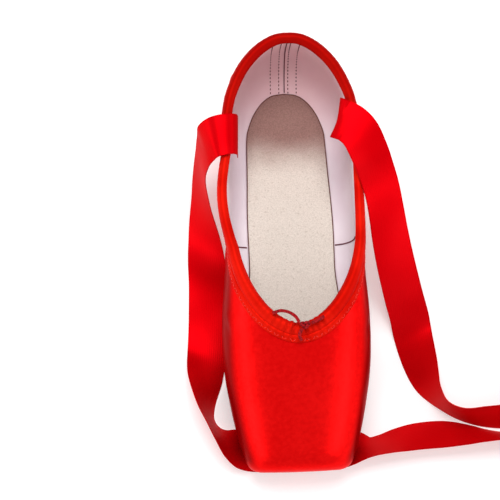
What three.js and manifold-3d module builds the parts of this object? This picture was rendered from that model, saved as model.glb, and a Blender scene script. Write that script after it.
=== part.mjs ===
// Pointe shoe: a satin block-toe ballet shoe with its drawstring and ribbons, standing on its sole.
// Millimetres. X runs across the shoe, Y from the toe (-Y) to the heel (+Y), Z up from the floor.
// "at" always means the distance back from the toe tip along the shoe.
import * as THREE from 'three';
import * as BufferGeometryUtils from 'three/addons/utils/BufferGeometryUtils.js';
import Module from 'manifold-3d';

const wasm = await Module();
wasm.setup();

// ---- driving sizes ---------------------------------------------------------------------------

const LENGTH = 236;
const OUTSOLE_THICKNESS = 2.2;
const INSOLE_THICKNESS = 1.8;
const GAP = 0.3;
const FACET_ROOM = 0.25;
const SHELL_FLOOR = OUTSOLE_THICKNESS + GAP;
const RIBBON_WIDTH = 22;
const RIBBON_THICKNESS = 0.7;
const STRING_DIAMETER = 1.7;

const STATIONS = 34;
const FLAT_STEPS = 3;
const BILGE_STEPS = 6;
const SIDE_STEPS = 11;
const BILGE_POWER = 2.2;
const PLATE_STEPS = 34;

// The last, a row for each section. half: half width at the widest height; foot: half width of the
// flat underside; floor: height of the underside above the sole line; waist: the widest height;
// crown: height of the top (in the open throat, of the last that would fill it); power: how
// square the section's upper half is; wall: thickness of the shell.
const LAST = [
  { at: 0.0, half: 22.0, foot: 10, floor: 9.5, waist: 19.0, crown: 28.5, power: 2.3, wall: 3.0 },
  { at: 0.8, half: 24.8, foot: 12, floor: 6.6, waist: 19.0, crown: 31.4, power: 2.3, wall: 3.0 },
  { at: 2.5, half: 27.3, foot: 14, floor: 4.4, waist: 19.0, crown: 34.2, power: 2.3, wall: 3.0 },
  { at: 5.0, half: 28.9, foot: 17, floor: 3.1, waist: 19.2, crown: 36.6, power: 2.3, wall: 3.0 },
  { at: 9.0, half: 30.4, foot: 19, floor: 2.5, waist: 19.5, crown: 39.4, power: 2.3, wall: 3.0 },
  { at: 16, half: 32.6, foot: 22, floor: 2.5, waist: 20.5, crown: 42.6, power: 2.3, wall: 3.0 },
  { at: 26, half: 35.0, foot: 24.5, floor: 2.5, waist: 22, crown: 46.2, power: 2.3, wall: 3.0 },
  { at: 38, half: 37.3, foot: 26.5, floor: 2.5, waist: 24, crown: 50.2, power: 2.35, wall: 2.9 },
  { at: 50, half: 39.2, foot: 28, floor: 2.5, waist: 25.5, crown: 54.2, power: 2.4, wall: 2.8 },
  { at: 62, half: 40.2, foot: 28.5, floor: 2.5, waist: 27, crown: 58.2, power: 2.45, wall: 2.6 },
  { at: 72, half: 40.4, foot: 28.3, floor: 2.5, waist: 28.5, crown: 61, power: 2.5, wall: 2.4 },
  { at: 85, half: 40.0, foot: 27.4, floor: 2.5, waist: 30, crown: 63.6, power: 2.7, wall: 2.2 },
  { at: 105, half: 38.1, foot: 25.4, floor: 2.5, waist: 31, crown: 68.2, power: 3.4, wall: 2.0 },
  { at: 125, half: 36.5, foot: 23.6, floor: 2.5, waist: 31, crown: 72.4, power: 4.2, wall: 2.0 },
  { at: 145, half: 36.0, foot: 22.7, floor: 2.5, waist: 31, crown: 74, power: 4.5, wall: 2.0 },
  { at: 170, half: 36.2, foot: 22.1, floor: 2.5, waist: 30, crown: 73, power: 4.3, wall: 2.0 },
  { at: 186, half: 36.3, foot: 21.6, floor: 2.5, waist: 30, crown: 71, power: 3.9, wall: 2.0 },
  { at: 200, half: 34.8, foot: 19.8, floor: 2.5, waist: 30, crown: 67, power: 3.6, wall: 2.0 },
  { at: 210, half: 31.9, foot: 16.4, floor: 2.6, waist: 30, crown: 63.8, power: 3.5, wall: 2.0 },
  { at: 218, half: 28.3, foot: 11.8, floor: 3.6, waist: 30, crown: 61.4, power: 3.5, wall: 2.0 },
  { at: 224, half: 24.2, foot: 8.4, floor: 6.4, waist: 30, crown: 60, power: 3.4, wall: 2.0 },
  { at: 229, half: 19.3, foot: 5.6, floor: 10.6, waist: 30, crown: 58.6, power: 3.2, wall: 2.0 },
  { at: 232.6, half: 13.6, foot: 3.4, floor: 15.8, waist: 30, crown: 56.6, power: 3.0, wall: 2.0 },
  { at: 234.8, half: 8.2, foot: 1.8, floor: 21.2, waist: 30, crown: 51.5, power: 2.8, wall: 2.0 },
  { at: 235.7, half: 4.4, foot: 0.9, floor: 25.4, waist: 30, crown: 42.5, power: 2.6, wall: 2.0 },
  { at: 236, half: 0.8, foot: 0.2, floor: 29.0, waist: 30, crown: 32.0, power: 2.5, wall: 2.0 },
];

// The sole line seen from the side: flat under the forefoot and the heel, arched between.
const SOLE_LINE = [
  { at: 0, lift: 0 }, { at: 44, lift: 0 }, { at: 58, lift: 2.2 }, { at: 71, lift: 5.2 },
  { at: 84, lift: 8.3 }, { at: 97, lift: 10.8 }, { at: 112, lift: 12.2 }, { at: 126, lift: 11.7 },
  { at: 144, lift: 9.0 }, { at: 158, lift: 6.0 }, { at: 172, lift: 2.8 }, { at: 188, lift: 0 },
  { at: 236, lift: 0 },
];

// Half widths of the two flat pieces, from their front ends to their back ends.
const OUTSOLE = [
  { at: 28, half: 0.6 }, { at: 28.8, half: 8 }, { at: 31, half: 13.6 }, { at: 36, half: 18.6 },
  { at: 45, half: 22.4 }, { at: 58, half: 24.8 }, { at: 70, half: 25.2 }, { at: 85, half: 23.2 },
  { at: 102, half: 19.4 }, { at: 120, half: 17 }, { at: 145, half: 17 }, { at: 170, half: 18.8 },
  { at: 192, half: 20 }, { at: 205, half: 18.6 }, { at: 213, half: 14.8 }, { at: 218, half: 10.4 },
  { at: 220.6, half: 6 }, { at: 221.4, half: 0.6 },
];
const INSOLE = [
  { at: 15, half: 0.6 }, { at: 16, half: 8 }, { at: 19, half: 13.5 }, { at: 26, half: 18.8 },
  { at: 38, half: 23 }, { at: 54, half: 25.8 }, { at: 72, half: 26.6 }, { at: 92, half: 25.6 },
  { at: 112, half: 23.6 }, { at: 135, half: 21.8 }, { at: 165, half: 20.9 }, { at: 188, half: 20.2 },
  { at: 198, half: 17.6 }, { at: 205, half: 14 }, { at: 210, half: 9.6 }, { at: 212.4, half: 5.4 },
  { at: 213, half: 0.6 },
];
const OPENING_MARGIN = 6;

// The top line: its height where the quarters carry it, from the end of the throat's front curve
// to the back of the heel; the front curve is an oval seen from above.
const TOP_LINE = [
  { at: 128, height: 59.3 }, { at: 142, height: 57.6 }, { at: 156, height: 56.0 },
  { at: 170, height: 54.7 }, { at: 186, height: 53.4 }, { at: 200, height: 52.8 },
  { at: 212, height: 53.2 }, { at: 222, height: 54.4 }, { at: 230, height: 55.4 },
  { at: 236, height: 55.8 },
];
const THROAT_FRONT = 76;
const THROAT_SIDE = TOP_LINE[0].at;
const THROAT_POWER = 1.78;

// The folded tape round the throat, as a closed outline: how far down the wall from the top line
// each point lies, and how far out of the shell's outer face or, inside, of its inner face.
const BINDING = [
  { down: 8.6, out: 0.55, inside: false }, { down: 4.4, out: 0.5, inside: false },
  { down: -0.5, out: 0.5, inside: false }, { down: -0.5, out: -0.5, inside: true },
  { down: 3.6, out: -0.5, inside: true }, { down: 3.6, out: -1.2, inside: true },
  { down: -0.9, out: -1.2, inside: true }, { down: -1.7, out: -0.3, inside: true },
  { down: -1.3, out: 1.2, inside: false }, { down: 1.2, out: 2.2, inside: false },
  { down: 4.2, out: 1.6, inside: false }, { down: 8.3, out: 1.3, inside: false },
];
const BINDING_STEPS = 84;

// The drawstring where it shows: a knot on the binding at the throat's front, an arched loop that
// goes back into the binding on the left, and two short ends.
const KNOT = { x: 2.2, y: -41.8, z: 66.8, width: 6.6, depth: 4.6, height: 3.8 };
const LOOP = [
  [-0.9, -40.4, 67.4], [-2.8, -37.4, 67.8], [-6.4, -35.0, 67.8], [-10.6, -34.2, 67.2], [-14.6, -35.2, 66.6],
];
const END_LEFT = [[0.6, -44.0, 66.9], [-0.6, -45.8, 66.4], [-0.8, -47.8, 65.6], [0.2, -49.8, 64.7]];
const END_RIGHT = [[5.5, -41.0, 67.0], [7.6, -40.2, 67.0], [9.8, -39.2, 66.9], [12.2, -37.8, 66.6]];

// The ribbons' routes, from where each is sewn inside the collar. turn: the way the ribbon's width
// points, in degrees from +X seen from above; tilt: how far that side is lifted, in degrees.
// A row without z lies on the floor, or as far over it as its own over says.
const RIBBON_RIGHT = [
  { x: 28.6, y: 71, z: 44, turn: 80, tilt: 0 }, { x: 27.4, y: 70.8, z: 49.4, turn: 79, tilt: 0 },
  { x: 25.4, y: 70.2, z: 53.8, turn: 76, tilt: 0 }, { x: 26.2, y: 68.8, z: 57.2, turn: 72, tilt: 0 },
  { x: 31.4, y: 66, z: 58.8, turn: 63, tilt: 0 }, { x: 36.4, y: 60.6, z: 59.2, turn: 52, tilt: -2 },
  { x: 40.2, y: 52.4, z: 58.6, turn: 42, tilt: -7 }, { x: 43.8, y: 42.2, z: 57.6, turn: 34, tilt: -12 },
  { x: 47.4, y: 31, z: 54, turn: 28, tilt: -15 }, { x: 50.2, y: 19.6, z: 47, turn: 24, tilt: -15 },
  { x: 52.8, y: 8, z: 38.4, turn: 21, tilt: -11 }, { x: 56, y: -4, z: 29.2, turn: 19, tilt: -6 },
  { x: 59.4, y: -15, z: 20.6, turn: 18, tilt: -1 }, { x: 62.6, y: -25, z: 13, turn: 18, tilt: 5 },
  { x: 65.6, y: -34.4, z: 7.6, turn: 18, tilt: 11 }, { x: 67.4, y: -43.6, z: 4.6, turn: 18, tilt: 18 },
  { x: 69, y: -52.6, turn: 18, tilt: 27 }, { x: 70.8, y: -61.4, turn: 20, tilt: 38 },
  { x: 73, y: -70, turn: 25, tilt: 52 }, { x: 76.4, y: -78, turn: 36, tilt: 69 },
  { x: 81.8, y: -84.8, turn: 56, tilt: 80 }, { x: 91, y: -89.6, turn: 76, tilt: 76 },
  { x: 103.4, y: -91.6, turn: 88, tilt: 62 }, { x: 116, y: -92.2, turn: 92, tilt: 54 },
  { x: 129, y: -91.8, turn: 98, tilt: 50 }, { x: 140, y: -89.6, turn: 110, tilt: 60 },
  { x: 149, y: -86.4, turn: 128, tilt: 76 }, { x: 155.6, y: -79, turn: 146, tilt: 84 },
  { x: 160, y: -69.6, turn: 162, tilt: 66 }, { x: 162.2, y: -59, turn: 172, tilt: 34 },
  { x: 163, y: -47, turn: 178, tilt: 8 }, { x: 163, y: -34, turn: 181, tilt: 0 },
  { x: 162.4, y: -18, turn: 182, tilt: 0 }, { x: 161.6, y: -1, turn: 182, tilt: 0 },
  { x: 161.4, y: 16, turn: 180, tilt: 0 }, { x: 161.8, y: 33, turn: 178, tilt: 0 },
  { x: 163, y: 50, turn: 176, tilt: 0 }, { x: 164.4, y: 67, turn: 175, tilt: 0 },
  { x: 165.8, y: 84, turn: 176, tilt: 0 }, { x: 166.6, y: 100, turn: 178, tilt: 0 },
  { x: 166.8, y: 111, turn: 179, tilt: 0 },
];
const RIBBON_LEFT = [
  { x: -28.6, y: 63, z: 43, turn: 88, tilt: 0 }, { x: -28.8, y: 62.9, z: 49, turn: 88, tilt: 0 },
  { x: -29.8, y: 62.7, z: 54.2, turn: 89, tilt: 0 }, { x: -33, y: 62.4, z: 57.6, turn: 91, tilt: 0 },
  { x: -38.6, y: 61.6, z: 58.4, turn: 95, tilt: 0 }, { x: -43, y: 60.4, z: 56.6, turn: 99, tilt: 0 },
  { x: -46.2, y: 58.4, z: 51.8, turn: 104, tilt: 0 },
  { x: -47.8, y: 55.2, z: 45.2, turn: 101, tilt: -10 },
  { x: -49, y: 50.8, z: 38.6, turn: 102, tilt: -24 }, { x: -49.6, y: 45.2, z: 32, turn: 112, tilt: -44 },
  { x: -49.6, y: 38.4, z: 26, turn: 132, tilt: -58 },
  { x: -49.2, y: 30.4, z: 20.2, turn: 154, tilt: -60 },
  { x: -48.6, y: 21.4, z: 14.6, turn: 168, tilt: -50 },
  { x: -47.8, y: 11.4, z: 9.2, turn: 175, tilt: -36 }, { x: -47.2, y: 0.6, z: 4.6, turn: 178, tilt: -19 },
  { x: -46.6, y: -10, z: 1.4, turn: 180, tilt: -5 }, { x: -46.9, y: -22, turn: 180, tilt: 0 },
  { x: -47.6, y: -38, turn: 180, tilt: 0 }, { x: -48.6, y: -51, turn: 180, tilt: 6 },
  { x: -49.8, y: -61.6, turn: 182, tilt: 24 }, { x: -50.4, y: -71, turn: 186, tilt: 46 },
  { x: -50, y: -80.4, turn: 193, tilt: 65 }, { x: -47.8, y: -89.2, turn: 204, tilt: 78 },
  { x: -43.4, y: -96.8, turn: 218, tilt: 72 }, { x: -37.6, y: -102.4, turn: 234, tilt: 49 },
  { x: -30, y: -105.8, turn: 253, tilt: 18 }, { x: -20.6, y: -107.2, turn: 265, tilt: 0 },
  { x: -10, y: -106.4, turn: 270, tilt: 0 }, { x: 2, y: -106.4, turn: 270, tilt: 0 },
  { x: 14, y: -106.4, turn: 270, tilt: 0 }, { x: 24.6, y: -106.6, turn: 270, tilt: 10 },
  { x: 32.6, y: -106.9, turn: 271, tilt: 40 }, { x: 40, y: -106.4, turn: 273, tilt: 62 },
  { x: 48, y: -105, turn: 276, tilt: 62 }, { x: 57.6, y: -103, turn: 278, tilt: 54 },
  { x: 68.4, y: -101.4, turn: 275, tilt: 49 }, { x: 82, y: -100.8, turn: 270, tilt: 49 },
  { x: 94.6, y: -101.4, turn: 267, tilt: 60 }, { x: 105, y: -102.2, turn: 266, tilt: 72 },
  { x: 116, y: -102.9, turn: 268, tilt: 79 }, { x: 128, y: -103.8, turn: 270, tilt: 70 },
  { x: 141, y: -105.2, turn: 270, tilt: 48 }, { x: 154, y: -105, turn: 274, tilt: 36 },
  { x: 165, y: -102.4, turn: 284, tilt: 50 }, { x: 174.6, y: -97, turn: 302, tilt: 76 },
  { x: 182, y: -89.6, turn: 322, tilt: 84 }, { x: 186.4, y: -80, turn: 342, tilt: 66 },
  { x: 188.2, y: -69.4, turn: 353, tilt: 28 }, { x: 188.6, y: -58, turn: 359, tilt: 4 },
  { x: 188.6, y: -47, turn: 361, tilt: 0 },
];

// ---- tables and the last's surface -------------------------------------------------------------

// A smooth curve through one column of a table, with no overshoot between its rows.
function column(table, name, at) {
  const last = table.length - 1;
  if (at <= table[0].at) return table[0][name];
  if (at >= table[last].at) return table[last][name];
  let i = 0;
  while (table[i + 1].at < at) i += 1;
  const rise = (k) => (table[k + 1][name] - table[k][name]) / (table[k + 1].at - table[k].at);
  const slope = (k) => {
    if (k === 0 || k === last) return k === 0 ? rise(0) : rise(last - 1);
    const before = rise(k - 1);
    const after = rise(k);
    return before * after <= 0 ? 0 : (2 * before * after) / (before + after);
  };
  const span = table[i + 1].at - table[i].at;
  const u = (at - table[i].at) / span;
  const bend = u * u * (3 - 2 * u);
  const start = u * (1 - u) * (1 - u) * span * slope(i);
  const end = u * u * (u - 1) * span * slope(i + 1);
  return table[i][name] * (1 - bend) + table[i + 1][name] * bend + start + end;
}

const soleLine = (at) => column(SOLE_LINE, 'lift', at);

// One section of the last, moved inwards by the wall's thickness for the hollow.
function section(at, hollow) {
  const wall = hollow ? column(LAST, 'wall', at) : 0;
  const lift = soleLine(at);
  const floor = column(LAST, 'floor', at);
  return {
    at: at + wall * (1 - (2 * at) / LENGTH),
    half: Math.max(column(LAST, 'half', at) - wall, 0.4),
    foot: Math.max(column(LAST, 'foot', at) - wall * 0.6, 0.1),
    floor: lift + floor + wall * Math.min(1, (30 - floor) / 20),
    waist: column(LAST, 'waist', at),
    crown: column(LAST, 'crown', at) - wall * Math.min(1, (column(LAST, 'crown', at) - 30) / 20),
    power: column(LAST, 'power', at),
  };
}

// The section's right half, from the middle of its underside up to the middle of its top.
function halfProfile(s) {
  const points = [];
  for (let i = 0; i < FLAT_STEPS; i += 1) points.push([(s.foot * i) / FLAT_STEPS, s.floor]);
  for (let i = 0; i < BILGE_STEPS; i += 1) {
    const turn = (Math.PI / 2) * (1 - i / BILGE_STEPS);
    const out = Math.pow(Math.cos(turn), 2 / BILGE_POWER);
    const down = Math.pow(Math.sin(turn), 2 / BILGE_POWER);
    points.push([s.foot + (s.half - s.foot) * out, s.waist - (s.waist - s.floor) * down]);
  }
  for (let i = 0; i <= SIDE_STEPS; i += 1) {
    const turn = (Math.PI / 2) * (i / SIDE_STEPS);
    const out = i === SIDE_STEPS ? 0 : Math.pow(Math.cos(turn), 2 / s.power);
    const up = Math.pow(Math.sin(turn), 2 / s.power);
    points.push([s.half * out, s.waist + (s.crown - s.waist) * up]);
  }
  return points;
}

const toY = (at) => at - LENGTH / 2;

// ---- solids ------------------------------------------------------------------------------------

// Closed skin through rings of points that all have the same count, capped at both ends. The strip
// after point "crossed" is split along its other diagonal.
function skin(rings, crossed = -1) {
  const count = rings[0].length;
  const position = [];
  const index = [];
  for (const ring of rings) for (const point of ring) position.push(...point);
  for (let r = 0; r + 1 < rings.length; r += 1) {
    for (let k = 0; k < count; k += 1) {
      const a = r * count + k;
      const b = r * count + ((k + 1) % count);
      if (k === crossed) index.push(a, b, b + count, a, b + count, a + count);
      else index.push(a, b, a + count, b, b + count, a + count);
    }
  }
  for (const [ring, flip] of [[0, true], [rings.length - 1, false]]) {
    const middle = rings[ring].reduce((sum, p) => sum.map((v, i) => v + p[i] / count), [0, 0, 0]);
    const centre = position.length / 3;
    position.push(...middle);
    for (let k = 0; k < count; k += 1) {
      const a = ring * count + k;
      const b = ring * count + ((k + 1) % count);
      index.push(...(flip ? [b, a, centre] : [a, b, centre]));
    }
  }
  return solid(position, index);
}

// Closed skin through rings that run round a loop and meet themselves.
function loopSkin(rings) {
  const count = rings[0].length;
  const position = rings.flat(2);
  const index = [];
  for (let r = 0; r < rings.length; r += 1) {
    const next = ((r + 1) % rings.length) * count;
    for (let k = 0; k < count; k += 1) {
      const a = r * count + k;
      const b = r * count + ((k + 1) % count);
      index.push(a, b, next + k, b, next + ((k + 1) % count), next + k);
    }
  }
  return solid(position, index);
}

// A manifold solid from triangles, turned the right way out.
function solid(position, index) {
  const volume = index.reduce((sum, _, i) => {
    if (i % 3) return sum;
    const [a, b, c] = [0, 1, 2].map((k) => new THREE.Vector3().fromArray(position, 3 * index[i + k]));
    return sum + a.dot(b.cross(c)) / 6;
  }, 0);
  const triangles = volume < 0 ? index.slice().reverse() : index;
  const geometry = new THREE.BufferGeometry();
  geometry.setAttribute('position', new THREE.Float32BufferAttribute(position, 3));
  geometry.setIndex(triangles);
  const merged = BufferGeometryUtils.mergeVertices(geometry, 1e-5);
  return new wasm.Manifold(new wasm.Mesh({
    numProp: 3,
    vertProperties: new Float32Array(merged.attributes.position.array),
    triVerts: new Uint32Array(merged.index.array),
  }));
}

function toGeometry(manifold) {
  const mesh = manifold.getMesh();
  const geometry = new THREE.BufferGeometry();
  geometry.setAttribute('position', new THREE.BufferAttribute(mesh.vertProperties, 3));
  geometry.setIndex(new THREE.BufferAttribute(mesh.triVerts, 1));
  geometry.computeVertexNormals();
  return geometry;
}

// Places along the shoe, close together at both ends where the form turns in.
function stations(from, to, count) {
  return Array.from({ length: count + 1 }, (_, i) =>
    from + ((to - from) * (1 - Math.cos((Math.PI * i) / count))) / 2);
}

function lastSolid(hollow) {
  return skin(stations(0, LENGTH, STATIONS).map((at) => {
    const s = section(at, hollow);
    const right = halfProfile(s);
    const left = right.slice(1, -1).reverse().map(([x, z]) => [-x, z]);
    return [...right, ...left].map(([x, z]) => [x, toY(s.at), z]);
  }));
}

// ---- the top line ------------------------------------------------------------------------------

const point = (x, at, z) => new THREE.Vector3(x, toY(at), z);

// Half width of the last's upper half at a height, and its height at a distance from the middle.
function widthAt(at, height) {
  const s = section(at, false);
  const up = Math.min(Math.max((height - s.waist) / (s.crown - s.waist), 0), 1);
  return s.half * Math.pow(1 - Math.pow(up, s.power), 1 / s.power);
}

function heightAt(at, across) {
  const s = section(at, false);
  const out = Math.min(Math.abs(across) / s.half, 1);
  return s.waist + (s.crown - s.waist) * Math.pow(1 - Math.pow(out, s.power), 1 / s.power);
}

// Where the top line meets the middle of the heel.
function heelTop() {
  let [low, high] = [220, LENGTH];
  while (high - low > 1e-6) {
    const middle = (low + high) / 2;
    if (column(LAST, 'crown', middle) > column(TOP_LINE, 'height', middle)) low = middle;
    else high = middle;
  }
  return low;
}

// The right half of the top line, from the throat's front to the heel's back.
function topLineHalf(frontSteps, quarterSteps) {
  const side = widthAt(THROAT_SIDE, TOP_LINE[0].height);
  const front = Array.from({ length: frontSteps }, (_, i) => {
    const turn = (Math.PI / 2) * (1 - i / frontSteps);
    const forward = Math.pow(Math.sin(turn), 2 / THROAT_POWER);
    const across = i === 0 ? 0 : side * Math.pow(Math.cos(turn), 2 / THROAT_POWER);
    const at = THROAT_SIDE - (THROAT_SIDE - THROAT_FRONT) * forward;
    return point(across, at, heightAt(at, across));
  });
  const back = heelTop();
  const quarter = Array.from({ length: quarterSteps + 1 }, (_, i) => {
    const at = back - (back - THROAT_SIDE) * Math.pow(1 - i / quarterSteps, 2);
    const height = column(TOP_LINE, 'height', at);
    return point(i === quarterSteps ? 0 : widthAt(at, height), at, height);
  });
  return [...front, ...quarter];
}

// The whole top line as a closed loop of points evenly spaced.
function topLine(count) {
  const right = topLineHalf(40, 60);
  const left = right.slice(1, -1).reverse().map((p) => new THREE.Vector3(-p.x, p.y, p.z));
  const curve = new THREE.CatmullRomCurve3([...right, ...left], true, 'centripetal');
  curve.arcLengthDivisions = 1200;
  return curve.getSpacedPoints(count).slice(0, count);
}

// How far a place lies outside the last or its hollow: below zero inside, above zero outside.
function outside(p, hollow) {
  const place = p.y + LENGTH / 2;
  const wall = hollow ? column(LAST, 'wall', place) : 0;
  const at = (place - wall) / (1 - (2 * wall) / LENGTH);
  const s = section(THREE.MathUtils.clamp(at, 0, LENGTH), hollow);
  const across = Math.abs(p.x);
  if (p.z > s.waist) {
    return Math.pow(across / s.half, s.power)
      + Math.pow((p.z - s.waist) / (s.crown - s.waist), s.power) - 1;
  }
  return Math.pow(Math.max(across - s.foot, 0) / (s.half - s.foot), BILGE_POWER)
    + Math.pow((s.waist - p.z) / (s.waist - s.floor), BILGE_POWER) - 1;
}

// The direction straight out of the last's surface at a place on it.
function normalAt(p) {
  const step = 0.05;
  const slope = ['x', 'y', 'z'].map((axis) => {
    const [ahead, before] = [p.clone(), p.clone()];
    ahead[axis] += step;
    before[axis] -= step;
    return outside(ahead, false) - outside(before, false);
  });
  return new THREE.Vector3(...slope).normalize();
}

// Moves a place along a direction onto the surface, then on by a distance.
function fromSurface(p, direction, distance, hollow) {
  let [low, high] = [-12, 12];
  while (high - low > 1e-4) {
    const middle = (low + high) / 2;
    if (outside(p.clone().addScaledVector(direction, middle), hollow) > 0) high = middle;
    else low = middle;
  }
  return p.clone().addScaledVector(direction, low + distance);
}

// Frames round the top line: out of the surface, along the line, and down the wall.
function topLineFrames(count) {
  const points = topLine(count);
  return points.map((p, i) => {
    const along = points[(i + 1) % count].clone().sub(points[(i + count - 1) % count]).normalize();
    const out = normalAt(p);
    const down = along.clone().cross(out).normalize();
    return { p, out, along, down };
  });
}

// The tool that opens the throat: a funnel whose wall passes through the top line, square to the
// shell, and whose floor lies inside the hollow.
function throatCutter() {
  const frames = topLineFrames(120);
  const ring = (reach) => frames.map(({ p, out }) => p.clone().addScaledVector(out, reach).toArray());
  return skin([ring(-9), ring(0), ring(60)]);
}

// ---- flat pieces -------------------------------------------------------------------------------

// A plate that follows the sole line between two heights, with the outline of its table.
function plate(outline, bottom, top, inset, steps) {
  const front = outline[0].at + inset;
  const back = outline[outline.length - 1].at - inset;
  const stretch = (outline[outline.length - 1].at - outline[0].at) / (back - front);
  return skin(stations(front, back, steps).map((at) => {
    const half = Math.max(column(outline, 'half', outline[0].at + (at - front) * stretch) - inset, 0.4);
    const across = [-1, -0.5, 0, 0.5, 1].map((share) => share * half);
    return [
      ...across.map((x) => [x, toY(at), bottom(at)]),
      ...across.reverse().map((x) => [x, toY(at), top(at)]),
    ];
  }));
}

function outsoleSolid() {
  return plate(OUTSOLE, soleLine, (at) => soleLine(at) + OUTSOLE_THICKNESS, 0, PLATE_STEPS);
}

function insoleSolid() {
  const under = (at) => soleLine(at) + SHELL_FLOOR + column(LAST, 'wall', at) + GAP + FACET_ROOM;
  return plate(INSOLE, under, (at) => under(at) + INSOLE_THICKNESS, 0, PLATE_STEPS);
}

// The upper's open underside, which the outsole and the insole close.
function undersideCutter() {
  return plate(OUTSOLE, () => -5, () => 22, OPENING_MARGIN, 30);
}

function upperSolid() {
  return lastSolid(false).subtract(lastSolid(true)).subtract(throatCutter()).subtract(undersideCutter());
}

// ---- binding, drawstring and ribbons -----------------------------------------------------------

function bindingSolid() {
  return loopSkin(topLineFrames(BINDING_STEPS).map(({ p, out, down }) =>
    BINDING.map((row) => {
      const below = p.clone().addScaledVector(down, Math.max(row.down, 0));
      const place = fromSurface(below, out, row.out, row.inside);
      return place.addScaledVector(down, Math.min(row.down, 0)).toArray();
    })));
}

function roundCord(route, steps) {
  const curve = new THREE.CatmullRomCurve3(route.map((p) => new THREE.Vector3(...p)));
  const { normals, binormals } = curve.computeFrenetFrames(steps, false);
  return skin(normals.map((normal, i) => Array.from({ length: 8 }, (_, k) => {
    const turn = (Math.PI / 4) * k;
    return curve.getPointAt(i / steps)
      .addScaledVector(normal, (STRING_DIAMETER / 2) * Math.cos(turn))
      .addScaledVector(binormals[i], (STRING_DIAMETER / 2) * Math.sin(turn)).toArray();
  })));
}

function knotSolid() {
  const ball = new THREE.SphereGeometry(0.5, 16, 10);
  ball.scale(KNOT.width, KNOT.depth, KNOT.height);
  ball.translate(KNOT.x, KNOT.y, KNOT.z);
  ball.deleteAttribute('normal');
  ball.deleteAttribute('uv');
  const merged = BufferGeometryUtils.mergeVertices(ball);
  return solid(Array.from(merged.attributes.position.array), Array.from(merged.index.array));
}

// A flat strip along its route. Both faces are split the same way, so that they stay apart where
// the strip twists.
function ribbonSolid(route) {
  const centres = route.map(({ x, y, z, tilt, over = 0 }) => {
    const edge = (RIBBON_WIDTH / 2) * Math.abs(Math.sin(THREE.MathUtils.degToRad(tilt)));
    return new THREE.Vector3(x, y, z ?? over + RIBBON_THICKNESS / 2 + 0.05 + edge);
  });
  const widths = route.map(({ turn, tilt }) => new THREE.Vector3().setFromSphericalCoords(
    1, THREE.MathUtils.degToRad(90 - tilt), THREE.MathUtils.degToRad(turn)));
  const line = new THREE.CatmullRomCurve3(centres, false, 'catmullrom', 0.5);
  const across = new THREE.CatmullRomCurve3(widths, false, 'catmullrom', 0.5);
  const steps = 2 * (route.length - 1);
  const rings = Array.from({ length: steps + 1 }, (_, i) => {
    const along = line.getTangent(i / steps);
    const turned = across.getPoint(i / steps);
    const side = new THREE.Vector3(turned.z, turned.x, turned.y);
    side.addScaledVector(along, -side.dot(along)).setLength(RIBBON_WIDTH / 2);
    const face = along.clone().cross(side).setLength(RIBBON_THICKNESS / 2);
    const centre = line.getPoint(i / steps);
    return [[-1, -1], [1, -1], [1, 1], [-1, 1]].map(([a, b]) =>
      centre.clone().addScaledVector(side, a).addScaledVector(face, b).toArray());
  });
  return skin(rings, 2);
}

// ---- the object --------------------------------------------------------------------------------

const satin = new THREE.MeshStandardMaterial({ color: 0xd80f16, roughness: 0.38, metalness: 0 });
const leather = new THREE.MeshStandardMaterial({ color: 0xdbb18c, roughness: 0.7, metalness: 0 });
const tape = new THREE.MeshStandardMaterial({ color: 0xe6301c, roughness: 0.45, metalness: 0 });
const string = new THREE.MeshStandardMaterial({ color: 0x8c1218, roughness: 0.85, metalness: 0 });
const ribbonSatin = new THREE.MeshStandardMaterial({ color: 0xdc141c, roughness: 0.4, metalness: 0 });
const board = new THREE.MeshStandardMaterial({ color: 0xe0d3c6, roughness: 0.9, metalness: 0 });

const shoe = new THREE.Group();

function piece(name, manifold, material) {
  const mesh = new THREE.Mesh(toGeometry(manifold), material);
  mesh.name = name;
  shoe.add(mesh);
}

piece('upper', upperSolid(), satin);
piece('outsole', outsoleSolid(), leather);
piece('insole', insoleSolid(), board);
piece('collar_binding', bindingSolid(), tape);
piece('drawstring_knot', knotSolid(), string);
piece('drawstring_loop', roundCord(LOOP, 12), string);
piece('drawstring_end_left', roundCord(END_LEFT, 7), string);
piece('drawstring_end_right', roundCord(END_RIGHT, 7), string);
piece('ribbon_left', ribbonSolid(RIBBON_LEFT), ribbonSatin);
piece('ribbon_right', ribbonSolid(RIBBON_RIGHT), ribbonSatin);

export default shoe;
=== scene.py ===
# %% [markdown]
# # A pointe shoe in satin
# A pointe shoe is a soft satin slipper round a hard toe box. It is built here over its last, the
# form that a shoemaker pulls the cloth over, so every piece starts from the same few section rows.
# Each of them is then replaced by a finer one in the same place.

# %% Bring in the frame
import math

import bpy
import numpy as np
from mathutils import Matrix, Vector


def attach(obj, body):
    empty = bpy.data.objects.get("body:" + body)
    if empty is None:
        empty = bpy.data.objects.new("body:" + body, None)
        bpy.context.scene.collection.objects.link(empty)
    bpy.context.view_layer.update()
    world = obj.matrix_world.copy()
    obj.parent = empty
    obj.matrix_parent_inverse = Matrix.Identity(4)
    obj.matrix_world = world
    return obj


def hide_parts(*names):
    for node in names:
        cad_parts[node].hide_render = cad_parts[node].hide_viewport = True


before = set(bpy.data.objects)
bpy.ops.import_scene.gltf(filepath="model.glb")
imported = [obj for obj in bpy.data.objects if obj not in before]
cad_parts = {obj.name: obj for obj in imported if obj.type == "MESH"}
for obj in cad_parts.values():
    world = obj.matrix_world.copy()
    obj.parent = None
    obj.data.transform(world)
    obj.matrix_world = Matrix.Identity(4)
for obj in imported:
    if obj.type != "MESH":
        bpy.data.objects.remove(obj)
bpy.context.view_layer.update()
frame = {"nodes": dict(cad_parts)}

MM = 0.001
rng = np.random.default_rng(11)
print("frame pieces:", ", ".join(frame["nodes"]))

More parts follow.
